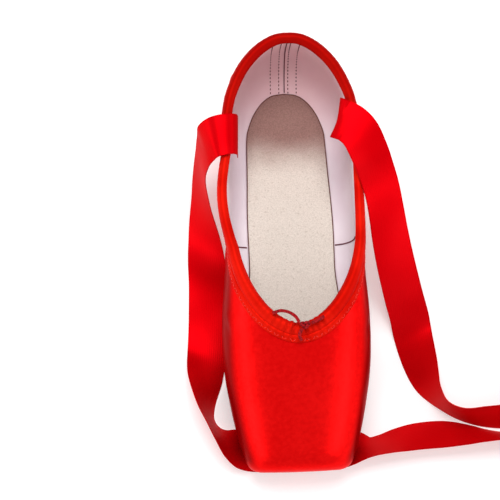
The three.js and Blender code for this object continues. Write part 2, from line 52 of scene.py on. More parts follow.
# %% [markdown]
# ## Camera
# The camera looks almost straight down on the shoe, leaning a little from the toe's side, so that
# the inside of the heel shows. Its height matters more than its lens: from close by, the heel's
# back wall opens up to view, while a far camera would flatten it to a line. Its right-hand
# direction is made square to the shoe's length, and a small roll then turns the shoe in the frame.

# %% Place the camera
PLACE = Vector((-0.058, -0.101, 0.825))
AIM = Vector((-0.0235, 0.0030, 0.030))
ROLL = math.radians(-2.1)
FIELD = 0.274

camera_data = bpy.data.cameras.new("camera")
camera_data.sensor_width = 36
camera_data.lens = 36 * (PLACE - AIM).length / FIELD
camera = bpy.data.objects.new("camera", camera_data)
bpy.context.scene.collection.objects.link(camera)
back = (PLACE - AIM).normalized()
right = Vector((0, 1, 0)).cross(back).normalized()
level = Matrix((right, back.cross(right), back)).transposed()
camera.rotation_euler = (level @ Matrix.Rotation(ROLL, 3, "Z")).to_euler()
camera.location = PLACE
bpy.context.scene.camera = camera
bpy.context.scene.view_settings.view_transform = "Standard"
print("lens", round(camera_data.lens, 1), "mm, camera height", round(camera.location.z, 3), "m")

# %% [markdown]
# ## Node materials, written as arithmetic
# A material is a little graph of nodes. Wiring it by hand in code is long, so a small class wraps
# one socket and turns Python's own signs into Math nodes: `1 - mask` adds a Subtract node. Colours
# go through Mix nodes, because a Math node would turn them grey.


# %% A socket that does arithmetic
class Value:
    def __init__(self, graph, socket):
        self.graph, self.socket = graph, socket

    def math(self, operation, *others, swap=False):
        inputs = [self, *others]
        if swap:
            inputs = inputs[::-1]
        return self.graph.add("ShaderNodeMath", dict(operation=operation), *inputs)

    def __add__(self, other): return self.math("ADD", other)
    def __radd__(self, other): return self.math("ADD", other)
    def __sub__(self, other): return self.math("SUBTRACT", other)
    def __rsub__(self, other): return self.math("SUBTRACT", other, swap=True)
    def __mul__(self, other): return self.math("MULTIPLY", other)
    def __rmul__(self, other): return self.math("MULTIPLY", other)
    def __abs__(self): return self.math("ABSOLUTE")
    def sin(self): return self.math("SINE")

    def ramp(self, low, high):
        """0 below low, 1 above high, and smooth between."""
        settings = dict(interpolation_type="SMOOTHSTEP")
        return self.graph.add("ShaderNodeMapRange", settings, self, low, high, 0.0, 1.0)


# %% The graph that the values live in
class Graph:
    def __init__(self, name):
        self.material = bpy.data.materials.new(name)
        self.material.use_nodes = True
        self.tree = self.material.node_tree
        self.shader = self.tree.nodes["Principled BSDF"]

    def add(self, kind, settings, *values, out=0, **named):
        """One node: its settings first, then the values or links of its sockets."""
        node = self.tree.nodes.new(kind)
        for key, value in settings.items():
            setattr(node, key, value)
        pairs = list(zip(node.inputs, values))
        pairs += [(node.inputs[key.replace("_", " ")], value) for key, value in named.items()]
        for socket, value in pairs:
            if isinstance(value, Value):
                self.tree.links.new(value.socket, socket)
            else:
                socket.default_value = value
        return Value(self, node.outputs[out])

    def place(self, scale=(1, 1, 1)):
        """Object coordinates, stretched by scale."""
        where = self.add("ShaderNodeTexCoord", {}, out=3)
        return self.add("ShaderNodeMapping", {}, Vector=where, Scale=scale)

    def axes(self):
        """Object coordinates as three values, in metres."""
        where = self.add("ShaderNodeTexCoord", {}, out=3)
        node = self.add("ShaderNodeSeparateXYZ", {}, where).socket.node
        return [Value(self, socket) for socket in node.outputs]

    def cloth_axes(self):
        """The piece's own map, across and along it: millimetres on a ribbon, shares elsewhere."""
        where = self.add("ShaderNodeUVMap", dict(uv_map="UVMap"))
        node = self.add("ShaderNodeSeparateXYZ", {}, where).socket.node
        return [Value(self, socket) for socket in node.outputs[:2]]

    def noise(self, where, scale, detail=2.0, rough=0.5):
        return self.add("ShaderNodeTexNoise", {}, Vector=where, Scale=scale, Detail=detail,
                        Roughness=rough)

    def blend(self, share, first, second):
        """A colour between two, or between a colour and another blend."""
        node = self.tree.nodes.new("ShaderNodeMix")
        node.data_type = "RGBA"
        for socket, value in zip([node.inputs[0], node.inputs[6], node.inputs[7]],
                                 [share, first, second]):
            if isinstance(value, Value):
                self.tree.links.new(value.socket, socket)
            else:
                socket.default_value = value
        return Value(self, node.outputs[2])

    def bump(self, height, strength, distance):
        return self.add("ShaderNodeBump", {}, Strength=strength, Distance=distance, Height=height)

    def finish(self, **sockets):
        """Puts colours, links and plain numbers on the shader, and returns the material."""
        for name, value in sockets.items():
            socket = self.shader.inputs[name.replace("_", " ")]
            if isinstance(value, Value):
                self.tree.links.new(value.socket, socket)
            else:
                socket.default_value = value
        print("material", self.material.name, "-", len(self.tree.nodes), "nodes")
        return self.material


def shade(red, green, blue):
    """A colour as a paint chart gives it, 0 to 255, in the linear values that shaders use."""
    parts = [v / 255 for v in (red, green, blue)]
    linear = [v / 12.92 if v <= 0.04045 else ((v + 0.055) / 1.055) ** 2.4 for v in parts]
    return (*linear, 1.0)


# %% [markdown]
# ## Satin
# Satin is woven so that long threads float on top, which gives it a broad, soft gloss in its own
# colour. A part of Metallic does that, and a red Specular Tint keeps the rest of the gloss red too,
# where a plain one would turn the sides pink. The threads are under a third of a millimetre, so a
# stretched noise in Bump is enough for them. Down the toe box's sides the colour is painted shade,
# a darker red: the upper's own map runs once round the shoe, so it says where the sides are.

# %% Satin for the upper
RED_GLOSS = (0.9, 0.12, 0.12, 1)
SIDE_SHADE_STARTS, SIDE_SHADE_FULL = 0.148, 0.192

g = Graph("satin")
y = g.axes()[1]
threads = g.noise(g.place((900, 260, 900)), 1.0, 2.0)
mottle = g.noise(g.place(), 420, 3.0, 0.6)
cloud = g.noise(g.place((1, 0.6, 1)), 26, 2.0)
tone = (cloud * 0.55 + mottle * 0.45).ramp(0.32, 0.68)
red = g.blend(tone, shade(224, 9, 10), shade(244, 18, 18))
# Painted shade: down the toe box's sides the satin's red is blended to a dark red.
from_top = abs(g.cloth_axes()[0] - 0.5)
behind_tip, before_waist = y.ramp(-0.1178, -0.110), 1 - y.ramp(-0.02, 0.03)
side = from_top.ramp(SIDE_SHADE_STARTS, SIDE_SHADE_FULL) * before_waist * behind_tip
red = g.blend(side * 0.95, red, shade(134, 0, 2))
SATIN = g.finish(Base_Color=red, Roughness=0.27 + mottle * 0.12, Metallic=0.5,
                 Specular_IOR_Level=0.03, Specular_Tint=RED_GLOSS,
                 Normal=g.bump(threads * 0.6 + mottle * 0.8, 0.3, 0.00014))

# %% Satin for the ribbons and the tape
g = Graph("ribbon_satin")
across = g.cloth_axes()[0]
floats = (across * 5.2).sin() * 0.5 + g.noise(g.place((500, 500, 500)), 1.0) * 0.8
wave = g.noise(g.place(), 30, 1.0)
edge = abs(across - 11.0).ramp(10.2, 10.5)
red = g.blend(wave.ramp(0.3, 0.7), shade(196, 0, 8), shade(208, 6, 14))
red = g.blend(edge * 0.5, red, shade(176, 0, 6))
RIBBON_SATIN = g.finish(Base_Color=red, Roughness=0.42, Metallic=0.35, Specular_IOR_Level=0.03,
                        Specular_Tint=RED_GLOSS,
                        Normal=g.bump(floats + edge * 2.0, 0.2, 0.0001))

g = Graph("binding_tape")
y = g.axes()[1]
threads = g.noise(g.place((700, 700, 700)), 1.0, 2.0)
cloud = g.noise(g.place(), 60, 2.0)
red = g.blend(cloud.ramp(0.35, 0.65), shade(190, 12, 4), shade(208, 22, 9))
# Painted shade: towards the heel the tape is blended to a darker red.
red = g.blend(y.ramp(0.03, 0.10) * 0.8, red, shade(150, 6, 4))
TAPE = g.finish(Base_Color=red, Roughness=0.5, Metallic=0.25, Specular_IOR_Level=0.05,
                Specular_Tint=(0.9, 0.15, 0.1, 1), Normal=g.bump(threads, 0.3, 0.00012))

# %% [markdown]
# ## Cotton, board, leather and cord
# The lining is pinkish cotton, painted pinker at the heel as red light bounced off the satin.
# The insole is a sheet of pressed board with flecks of fibre in it, painted darker under the heel
# as the heel wall's shade over some wear. The sole is plain leather, the drawstring a dull braided
# cord.

# %% Cotton lining
g = Graph("cotton_lining")
x, y = g.axes()[:2]
weave = (x * 5200).sin() * (y * 5200).sin() * 0.5 + g.noise(g.place(), 900, 2.0)
cloud = g.noise(g.place(), 40, 3.0)
# Painted red bounce light: towards the heel the lining is blended to a pinker colour.
heel_red_bounce = y.ramp(0.052, 0.108)
pale = g.blend(cloud.ramp(0.3, 0.7), shade(246, 236, 242), shade(240, 226, 234))
bounce_pink = g.blend(cloud.ramp(0.3, 0.7), shade(252, 216, 218), shade(248, 208, 212))
LINING = g.finish(Base_Color=g.blend(heel_red_bounce * 0.85, pale, bounce_pink), Roughness=0.88,
                  Specular_IOR_Level=0.2, Normal=g.bump(weave, 0.25, 0.00012))

# %% Insole board, sole leather and drawstring cord
g = Graph("insole_board")
y = g.axes()[1]
flecks = g.noise(g.place(), 1500, 3.0, 0.6)
spots = g.noise(g.place(), 760, 1.0).ramp(0.62, 0.74)
# Painted shade of the heel's back wall, with some wear: under the heel the board turns brown.
heel_shade_and_wear = (y + g.noise(g.place(), 70, 3.0) * 0.010).ramp(0.050, 0.078)
clean = g.blend(flecks.ramp(0.3, 0.7), shade(208, 200, 188), shade(228, 220, 209))
shaded_worn_board = g.blend(flecks.ramp(0.3, 0.7), shade(116, 70, 64), shade(136, 86, 78))
fibre = g.blend(spots * 0.28, g.blend(heel_shade_and_wear * 0.85, clean, shaded_worn_board), shade(140, 120, 100))
BOARD = g.finish(Base_Color=fibre, Roughness=0.9, Specular_IOR_Level=0.2,
                 Normal=g.bump(flecks, 0.35, 0.0002))

# Painted shade: a dark colour for the gap round the insole.
g = Graph("board_gap_shade")
BOARD_GAP_SHADE = g.finish(Base_Color=shade(96, 52, 46), Roughness=0.85)

g = Graph("sole_leather")
grain = g.noise(g.place(), 700, 4.0, 0.6)
patch = g.noise(g.place(), 35, 3.0)
hide = g.blend(patch.ramp(0.3, 0.7), shade(214, 168, 134), shade(226, 184, 152))
LEATHER = g.finish(Base_Color=g.blend(grain.ramp(0.4, 0.6) * 0.25, hide, shade(190, 142, 108)),
                   Roughness=0.78, Normal=g.bump(grain, 0.4, 0.0002))

g = Graph("drawstring_cord")
braid = g.noise(g.place(), 900, 2.0)
CORD = g.finish(Base_Color=g.blend(braid.ramp(0.35, 0.65), shade(116, 0, 10), shade(166, 10, 20)),
                Roughness=0.8, Specular_IOR_Level=0.2, Normal=g.bump(braid, 0.6, 0.0003))

g = Graph("thread")
THREAD = g.finish(Base_Color=shade(226, 34, 22), Roughness=0.5, Metallic=0.2)
g = Graph("lining_thread")
LINING_THREAD = g.finish(Base_Color=shade(112, 56, 66), Roughness=0.8)

# %% [markdown]
# ## Smooth curves through a few rows
# The same helper reads every table: it draws a curve through one column that never swings past
# its own rows, so a level stretch stays level. Routes of cords and ribbons use the usual
# Catmull-Rom curve, which passes through every point.


# %% Curves
def flow(rows, column, at):
    xs, ys = rows[:, 0], rows[:, column]
    rise = np.diff(ys) / np.diff(xs)
    slope = np.concatenate([rise[:1], np.zeros(len(xs) - 2), rise[-1:]])
    same = rise[:-1] * rise[1:] > 0
    slope[1:-1][same] = (2 * rise[:-1] * rise[1:])[same] / (rise[:-1] + rise[1:])[same]
    at = np.clip(at, xs[0], xs[-1])
    i = np.clip(np.searchsorted(xs, at) - 1, 0, len(xs) - 2)
    span = xs[i + 1] - xs[i]
    u = (at - xs[i]) / span
    ends = ys[i] * (1 + 2 * u) * (1 - u) ** 2 + ys[i + 1] * u * u * (3 - 2 * u)
    return ends + span * u * (1 - u) * (slope[i] * (1 - u) - slope[i + 1] * u)


def through(points, steps):
    """A curve through points, with this many steps between each two."""
    points = np.asarray(points, float)
    p = np.vstack([2 * points[0] - points[1], points, 2 * points[-1] - points[-2]])
    t = (np.arange(steps) / steps)[:, None]
    parts = [0.5 * (2 * b + (c - a) * t + (2 * a - 5 * b + 4 * c - d) * t ** 2
                    + (3 * b - a - 3 * c + d) * t ** 3)
             for a, b, c, d in zip(p, p[1:], p[2:], p[3:])]
    return np.vstack([*parts, points[-1:]])


def unit(v):
    return v / np.maximum(np.linalg.norm(v, axis=-1, keepdims=True), 1e-9)


# %% [markdown]
# ## A grid that becomes cloth
# Most pieces of a soft shoe are sheets. Each starts as Blender's grid primitive, and its points
# are then moved to their places on the last. The grid keeps its own map, so a weave can follow the
# cloth. Nothing else is selected before an operator runs, because operators act on all of it.


# %% Grid, merge, thickness
def only(piece):
    bpy.ops.object.select_all(action="DESELECT")
    piece.select_set(True)
    bpy.context.view_layer.objects.active = piece


def edit(piece, *steps):
    """Runs edit-mode operators on all of a piece."""
    only(piece)
    bpy.ops.object.mode_set(mode="EDIT")
    bpy.ops.mesh.select_all(action="SELECT")
    for step, options in steps:
        getattr(bpy.ops.mesh, step)(**options)
    bpy.ops.object.mode_set(mode="OBJECT")


def modify(piece, kind, **settings):
    only(piece)
    modifier = piece.modifiers.new(kind.lower(), kind)
    for key, value in settings.items():
        setattr(modifier, key, value)
    bpy.ops.object.modifier_apply(modifier=modifier.name)


def points_of(piece):
    """A piece's points, in millimetres."""
    flat = np.empty(len(piece.data.vertices) * 3)
    piece.data.vertices.foreach_get("co", flat)
    return flat.reshape(-1, 3) / MM


def move_points(piece, points):
    piece.data.vertices.foreach_set("co", (points * MM).ravel())


def cloth(name, places, size=None):
    """A grid moved to places[row][column], in millimetres; size is its map's two lengths."""
    rows, columns = places.shape[:2]
    bpy.ops.object.select_all(action="DESELECT")
    bpy.ops.mesh.primitive_grid_add(x_subdivisions=columns - 1, y_subdivisions=rows - 1, size=2)
    piece = bpy.context.object
    piece.name = piece.data.name = name
    flat = (points_of(piece) * MM + 1) / 2
    column = np.rint(flat[:, 0] * (columns - 1)).astype(int)
    row = np.rint(flat[:, 1] * (rows - 1)).astype(int)
    move_points(piece, places[row, column])
    if size:
        layer = piece.data.uv_layers[0].data
        uv = np.empty(len(layer) * 2)
        layer.foreach_get("uv", uv)
        layer.foreach_set("uv", (uv.reshape(-1, 2) * size).ravel())
    return piece


def done(piece, material, node=None, smooth=math.radians(60)):
    """The last steps of each piece: smooth shading, its material, and what it stands for."""
    only(piece)
    bpy.ops.object.shade_smooth_by_angle(angle=smooth)
    piece.data.materials.clear()
    piece.data.materials.append(material)
    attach(piece, "root")
    if node:
        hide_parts(node)
    print(piece.name, len(piece.data.polygons), "faces")
    return piece


# %% [markdown]
# ## Ribbons
# Each ribbon is one flat satin strip, 22 mm wide, sewn inside the collar. It goes over the rim,
# falls to the floor and lies there loosely, on its face in some places and on its edge in others.
# A row gives a point of its middle line, which way its width points, and how far that side is
# lifted. A row without a height lies on the floor.

# %% The ribbons' routes, in millimetres and degrees
RIBBON_WIDTH = 22
RIBBON_ROOM = 0.7
SATIN_THICKNESS = 0.45
RIBBON_RIGHT = [
    (28.6, 71, 44, 80, 0), (27.4, 70.8, 49.4, 79, 0), (25.4, 70.2, 53.8, 76, 0),
    (26.2, 68.8, 57.2, 72, 0), (31.4, 66, 58.8, 63, 0), (36.4, 60.6, 59.2, 52, -2),
    (40.2, 52.4, 58.6, 42, -7), (43.8, 42.2, 57.6, 34, -12), (47.4, 31, 54, 28, -15),
    (50.2, 19.6, 47, 24, -15), (52.8, 8, 38.4, 21, -11), (56, -4, 29.2, 19, -6),
    (59.4, -15, 20.6, 18, -1), (62.6, -25, 13, 18, 5), (65.6, -34.4, 7.6, 18, 11),
    (67.4, -43.6, 4.6, 18, 18), (69, -52.6, None, 18, 27), (70.8, -61.4, None, 20, 38),
    (73, -70, None, 25, 52), (76.4, -78, None, 36, 69), (81.8, -84.8, None, 56, 80),
    (91, -89.6, None, 76, 76), (103.4, -91.6, None, 88, 62), (116, -92.2, None, 92, 54),
    (129, -91.8, None, 98, 50), (140, -89.6, None, 110, 60), (149, -86.4, None, 128, 76),
    (155.6, -79, None, 146, 84), (160, -69.6, None, 162, 66), (162.2, -59, None, 172, 34),
    (163, -47, None, 178, 8), (163, -34, None, 181, 0), (162.4, -18, None, 182, 0),
    (161.6, -1, None, 182, 0), (161.4, 16, None, 180, 0), (161.8, 33, None, 178, 0),
    (163, 50, None, 176, 0), (164.4, 67, None, 175, 0), (165.8, 84, None, 176, 0),
    (166.6, 100, None, 178, 0), (166.8, 111, None, 179, 0),
]
RIBBON_LEFT = [
    (-28.6, 63, 43, 88, 0), (-28.8, 62.9, 49, 88, 0), (-29.8, 62.7, 54.2, 89, 0),
    (-33, 62.4, 57.6, 91, 0), (-38.6, 61.6, 58.4, 95, 0), (-43, 60.4, 56.6, 99, 0),
    (-46.2, 58.4, 51.8, 104, 0), (-47.8, 55.2, 45.2, 101, -10), (-49, 50.8, 38.6, 102, -24),
    (-49.6, 45.2, 32, 112, -44), (-49.6, 38.4, 26, 132, -58), (-49.2, 30.4, 20.2, 154, -60),
    (-48.6, 21.4, 14.6, 168, -50), (-47.8, 11.4, 9.2, 175, -36), (-47.2, 0.6, 4.6, 178, -19),
    (-46.6, -10, 1.4, 180, -5), (-46.9, -22, None, 180, 0), (-47.6, -38, None, 180, 0),
    (-48.6, -51, None, 180, 6), (-49.8, -61.6, None, 182, 24), (-50.4, -71, None, 186, 46),
    (-50, -80.4, None, 193, 65), (-47.8, -89.2, None, 204, 78), (-43.4, -96.8, None, 218, 72),
    (-37.6, -102.4, None, 234, 49), (-30, -105.8, None, 253, 18), (-20.6, -107.2, None, 265, 0),
    (-10, -106.4, None, 270, 0), (2, -106.4, None, 270, 0), (14, -106.4, None, 270, 0),
    (24.6, -106.6, None, 270, 10), (32.6, -106.9, None, 271, 40), (40, -106.4, None, 273, 62),
    (48, -105, None, 276, 62), (57.6, -103, None, 278, 54), (68.4, -101.4, None, 275, 49),
    (82, -100.8, None, 270, 49), (94.6, -101.4, None, 267, 60), (105, -102.2, None, 266, 72),
    (116, -102.9, None, 268, 79), (128, -103.8, None, 270, 70), (141, -105.2, None, 270, 48),
    (154, -105, None, 274, 36), (165, -102.4, None, 284, 50), (174.6, -97, None, 302, 76),
    (182, -89.6, None, 322, 84), (186.4, -80, None, 342, 66), (188.2, -69.4, None, 353, 28),
    (188.6, -58, None, 359, 4), (188.6, -47, None, 361, 0),
]


# %% Lay a ribbon along its route
def ribbon(name, route):
    middle, widths = [], []
    for px, py, height, turn, tilt in route:
        turn, tilt = math.radians(turn), math.radians(tilt)
        lift = RIBBON_WIDTH / 2 * abs(math.sin(tilt))
        on_floor = RIBBON_ROOM / 2 + 0.05 + lift
        middle.append((px, py, on_floor if height is None else height))
        widths.append((math.cos(tilt) * math.cos(turn), math.cos(tilt) * math.sin(turn),
                       math.sin(tilt)))
    steps = 5
    line, side = through(middle, steps), through(widths, steps)
    along = unit(np.gradient(line, axis=0))
    side = unit(side - along * np.sum(side * along, axis=1, keepdims=True))
    share = np.linspace(-1, 1, 13)
    places = line[:, None] + side[:, None] * share[None, :, None] * RIBBON_WIDTH / 2
    length = np.sum(np.linalg.norm(np.diff(line, axis=0), axis=1))
    piece = cloth(name, places, (RIBBON_WIDTH, length))
    modify(piece, "SOLIDIFY", thickness=SATIN_THICKNESS * MM, offset=0)
    done(piece, RIBBON_SATIN, name)
    print(name, "is", round(length), "mm long")


ribbon("ribbon_right", RIBBON_RIGHT)
ribbon("ribbon_left", RIBBON_LEFT)

# %% [markdown]
# ## Drawstring
# A thin cord runs inside the binding and comes out at the throat, where it is tied in a small flat
# knot. One loop arches back into the binding and two short ends lie on it. Each part is a tube
# along a curve. The knot's curve is a closed overhand knot, squashed flat.


# %% Tubes for the knot, loop and ends
def tube(name, points, radius, closed=False):
    curve = bpy.data.curves.new(name, "CURVE")
    curve.dimensions = "3D"
    curve.bevel_depth = radius * MM
    curve.bevel_resolution = 3
    curve.use_fill_caps = not closed
    spline = curve.splines.new("POLY")
    spline.points.add(len(points) - 1)
    spline.points.foreach_set("co", np.hstack([points * MM, np.ones((len(points), 1))]).ravel())
    spline.use_cyclic_u = closed
    piece = bpy.data.objects.new(name, curve)
    bpy.context.scene.collection.objects.link(piece)
    only(piece)
    bpy.ops.object.convert(target="MESH")
    return bpy.context.object


CORD_RADIUS = 0.85
LOOP = [(-0.9, -40.4, 67.4), (-2.8, -37.4, 67.8), (-6.4, -35.0, 67.8),
        (-10.6, -34.2, 67.2), (-14.6, -35.2, 66.6)]
END_LEFT = [(0.6, -44.0, 66.9), (-0.6, -45.8, 66.4), (-0.8, -47.8, 65.6), (0.2, -49.8, 64.7)]
END_RIGHT = [(5.5, -41.0, 67.0), (7.6, -40.2, 67.0), (9.8, -39.2, 66.9), (12.2, -37.8, 66.6)]
for name, route in [("drawstring_loop", LOOP), ("drawstring_end_left", END_LEFT),
                    ("drawstring_end_right", END_RIGHT)]:
    done(tube(name, through(route, 8), CORD_RADIUS), CORD, name)

t = np.linspace(0, 2 * math.pi, 90, endpoint=False)
KNOT_MIDDLE = np.array([2.2, -41.8, 66.8])
tie = np.stack([(np.sin(t) + 2 * np.sin(2 * t)) * 0.82, (np.cos(t) - 2 * np.cos(2 * t)) * 0.52,
                -np.sin(3 * t) * 0.95], axis=1)
done(tube("drawstring_knot", KNOT_MIDDLE + tie, CORD_RADIUS * 0.9, True), CORD,
     "drawstring_knot")

# %% [markdown]
# ## The last
# Cloth and lining both follow the last, so its surface comes first. A row gives the section at a
# distance back from the toe: half width, flat underside, its height over the sole line, the widest
# height, the top, how square the upper half is, and the wall between satin and lining.

# %% Section rows, in millimetres
LENGTH = 236
LAST = np.array([
    (0.0, 22.0, 10, 9.5, 19.0, 28.5, 2.3, 3.0), (0.8, 24.8, 12, 6.6, 19.0, 31.4, 2.3, 3.0),
    (2.5, 27.3, 14, 4.4, 19.0, 34.2, 2.3, 3.0), (5.0, 28.9, 17, 3.1, 19.2, 36.6, 2.3, 3.0),
    (9.0, 30.4, 19, 2.5, 19.5, 39.4, 2.3, 3.0), (16, 32.6, 22, 2.5, 20.5, 42.6, 2.3, 3.0),
    (26, 35.0, 24.5, 2.5, 22, 46.2, 2.3, 3.0), (38, 37.3, 26.5, 2.5, 24, 50.2, 2.35, 2.9),
    (50, 39.2, 28, 2.5, 25.5, 54.2, 2.4, 2.8), (62, 40.2, 28.5, 2.5, 27, 58.2, 2.45, 2.6),
    (72, 40.4, 28.3, 2.5, 28.5, 61, 2.5, 2.4), (85, 40.0, 27.4, 2.5, 30, 63.6, 2.7, 2.2),
    (105, 38.1, 25.4, 2.5, 31, 68.2, 3.4, 2.0), (125, 36.5, 23.6, 2.5, 31, 72.4, 4.2, 2.0),
    (145, 36.0, 22.7, 2.5, 31, 74, 4.5, 2.0), (170, 36.2, 22.1, 2.5, 30, 73, 4.3, 2.0),
    (186, 36.3, 21.6, 2.5, 30, 71, 3.9, 2.0), (200, 34.8, 19.8, 2.5, 30, 67, 3.6, 2.0),
    (210, 31.9, 16.4, 2.6, 30, 63.8, 3.5, 2.0), (218, 28.3, 11.8, 3.6, 30, 61.4, 3.5, 2.0),
    (224, 24.2, 8.4, 6.4, 30, 60, 3.4, 2.0), (229, 19.3, 5.6, 10.6, 30, 58.6, 3.2, 2.0),
    (232.6, 13.6, 3.4, 15.8, 30, 56.6, 3.0, 2.0), (234.8, 8.2, 1.8, 21.2, 30, 51.5, 2.8, 2.0),
    (235.7, 4.4, 0.9, 25.4, 30, 42.5, 2.6, 2.0), (236, 0.8, 0.2, 29.0, 30, 32.0, 2.5, 2.0),
])
HALF, CROWN, WALL = 1, 5, 7
SOLE_LINE = np.array([
    (0, 0), (44, 0), (58, 2.2), (71, 5.2), (84, 8.3), (97, 10.8), (112, 12.2), (126, 11.7),
    (144, 9.0), (158, 6.0), (172, 2.8), (188, 0), (236, 0),
])
TOP_LINE = np.array([
    (128, 59.3), (142, 57.6), (156, 56.0), (170, 54.7), (186, 53.4), (200, 52.8), (212, 53.2),
    (222, 54.4), (230, 55.4), (236, 55.8),
])
THROAT_FRONT, THROAT_SIDE, THROAT_POWER = 76, 128, 1.78
BILGE_POWER = 2.2


# %% Sections and their rings of points
def section(at, hollow=False):
    at = np.asarray(at, float)
    half, foot, floor, waist, crown, power, wall = [flow(LAST, c, at) for c in range(1, 8)]
    wall = wall * hollow
    return dict(at=at + wall * (1 - 2 * at / LENGTH), half=np.maximum(half - wall, 0.4),
                foot=np.maximum(foot - 0.6 * wall, 0.1),
                floor=flow(SOLE_LINE, 1, at) + floor + wall * np.minimum(1, (30 - floor) / 20),
                waist=waist, power=power, crown=crown - wall * np.minimum(1, (crown - 30) / 20))


def ring(at, hollow, count):
    """Evenly spaced points round one section, up the right side and down the left."""
    s = section(at, hollow)
    low = np.linspace(math.pi / 2, 0, 90)
    high = np.linspace(0, math.pi / 2, 200)[1:]
    out_low, out_high = np.cos(low).clip(0) ** (2 / BILGE_POWER), np.cos(high).clip(0)
    x = np.concatenate([[0], s["foot"] + (s["half"] - s["foot"]) * out_low,
                        s["half"] * out_high ** (2 / s["power"])])
    z = np.concatenate([[s["floor"]],
                        s["waist"] - (s["waist"] - s["floor"]) * np.sin(low) ** (2 / BILGE_POWER),
                        s["waist"] + (s["crown"] - s["waist"])
                        * np.sin(high) ** (2 / s["power"])])
    x[-1] = 0
    far = np.concatenate([[0], np.cumsum(np.hypot(np.diff(x), np.diff(z)))])
    even = np.linspace(0, far[-1], count + 1)
    x, z = np.interp(even, far, x), np.interp(even, far, z)
    y = np.full(2 * count + 1, float(s["at"]) - LENGTH / 2)
    return np.stack([np.concatenate([x, -x[-2::-1]]), y, np.concatenate([z, z[-2::-1]])], axis=1)


def even_stations(spacing):
    """Distances along the shoe, evenly spaced over its surface, so closer where it turns in."""
    at = np.linspace(0, LENGTH, 6000)
    run = np.cumsum(np.hypot(np.gradient(at), np.hypot(
        np.gradient(flow(LAST, HALF, at)), np.gradient(flow(LAST, CROWN, at))) * 0.7))
    return np.interp(np.linspace(run[0], run[-1], int(run[-1] / spacing)), run, at)


def skin(hollow, spacing, count):
    """The whole skin of the last, or of its hollow, closed at both ends: rows of rings."""
    rows = [ring(at, hollow, count) for at in even_stations(spacing)]
    front, heel = rows[0], rows[-1]
    steps = np.linspace(0, 1, max(3, int(LAST[0, HALF] / spacing)))[:-1]
    bulge = np.array([0, -0.5, 0])
    cap = [front.mean(0) + (front - front.mean(0)) * k + bulge * (1 - k * k) for k in steps]
    end = [heel.mean(0) + (heel - heel.mean(0)) * k for k in (0.5, 0)]
    return np.array(cap + rows + end)


# %% [markdown]
# ## The top line
# The opening's edge is an oval at the throat, and along the sides and heel it is a height on the
# wall. From it come frames, each with a direction out of the surface and one down the wall, which
# the binding, its stitches and the trimmed edges all use.


# %% Points and frames round the opening
def wall_width(at, height):
    s = section(at)
    up = np.clip((height - s["waist"]) / (s["crown"] - s["waist"]), 0, 1)
    return s["half"] * (1 - up ** s["power"]) ** (1 / s["power"])


def side_width(at, up):
    """Half width of the last at a height, above or below its widest height."""
    s = section(at)
    above = wall_width(at, up)
    down = np.clip((s["waist"] - up) / (s["waist"] - s["floor"]), 0, 1)
    below = s["foot"] + (s["half"] - s["foot"]) * (1 - down ** BILGE_POWER) ** (1 / BILGE_POWER)
    return np.where(up > s["waist"], above, below)


def wall_height(at, across):
    s = section(at)
    out = np.clip(np.abs(across) / s["half"], 0, 1)
    return s["waist"] + (s["crown"] - s["waist"]) * (1 - out ** s["power"]) ** (1 / s["power"])


def outside(p, hollow=False):
    """Below zero inside the last or its hollow, above zero outside."""
    place = p[..., 1] + LENGTH / 2
    wall = flow(LAST, WALL, place) * hollow
    s = section(np.clip((place - wall) / (1 - 2 * wall / LENGTH), 0, LENGTH), hollow)
    x, z = np.abs(p[..., 0]), p[..., 2]
    rise = np.abs(z - s["waist"]) / (s["crown"] - s["waist"])
    top = (x / s["half"]) ** s["power"] + rise ** s["power"] - 1
    drop = np.clip((s["waist"] - z) / (s["waist"] - s["floor"]), 0, None)
    low = (np.clip(x - s["foot"], 0, None) / (s["half"] - s["foot"])) ** BILGE_POWER
    return np.where(z > s["waist"], top, low + drop ** BILGE_POWER - 1)


def normals_at(p):
    steps = np.eye(3) * 0.05
    return unit(np.stack([outside(p + s) - outside(p - s) for s in steps], axis=-1))


def onto(p, direction, distance=0.0, hollow=False, reach=12.0):
    """Moves points along a direction onto the surface, then on by a distance."""
    low, high = np.full(len(p), -reach), np.full(len(p), reach)
    for _ in range(24):
        middle = (low + high) / 2
        out = outside(p + direction * middle[:, None], hollow) > 0
        low, high = np.where(out, low, middle), np.where(out, middle, high)
    return p + direction * (low + distance)[:, None]


def top_line(count):
    side = float(wall_width(THROAT_SIDE, TOP_LINE[0, 1]))
    turn = math.pi / 2 * (1 - np.arange(60) / 60)
    across = side * np.cos(turn).clip(0) ** (2 / THROAT_POWER)
    at = THROAT_SIDE - (THROAT_SIDE - THROAT_FRONT) * np.sin(turn) ** (2 / THROAT_POWER)
    front = np.stack([across, at, wall_height(at, across)], axis=1)
    tall = np.linspace(220, LENGTH, 4000)
    heel = tall[np.argmax(flow(LAST, CROWN, tall) < flow(TOP_LINE, 1, tall))]
    at = heel - (heel - THROAT_SIDE) * (1 - np.arange(91) / 90) ** 2
    height = flow(TOP_LINE, 1, at)
    quarter = np.stack([wall_width(at, height), at, height], axis=1)
    quarter[-1, 0] = front[0, 0] = 0
    right = np.vstack([front, quarter])
    loop = np.vstack([right, right[-2:0:-1] * (-1, 1, 1)]) - (0, LENGTH / 2, 0)
    loop = np.vstack([loop, loop[:1]])
    run = np.concatenate([[0], np.cumsum(np.linalg.norm(np.diff(loop, axis=0), axis=1))])
    even = np.linspace(0, run[-1], count, endpoint=False)
    return np.stack([np.interp(even, run, loop[:, k]) for k in range(3)], axis=1), run[-1]


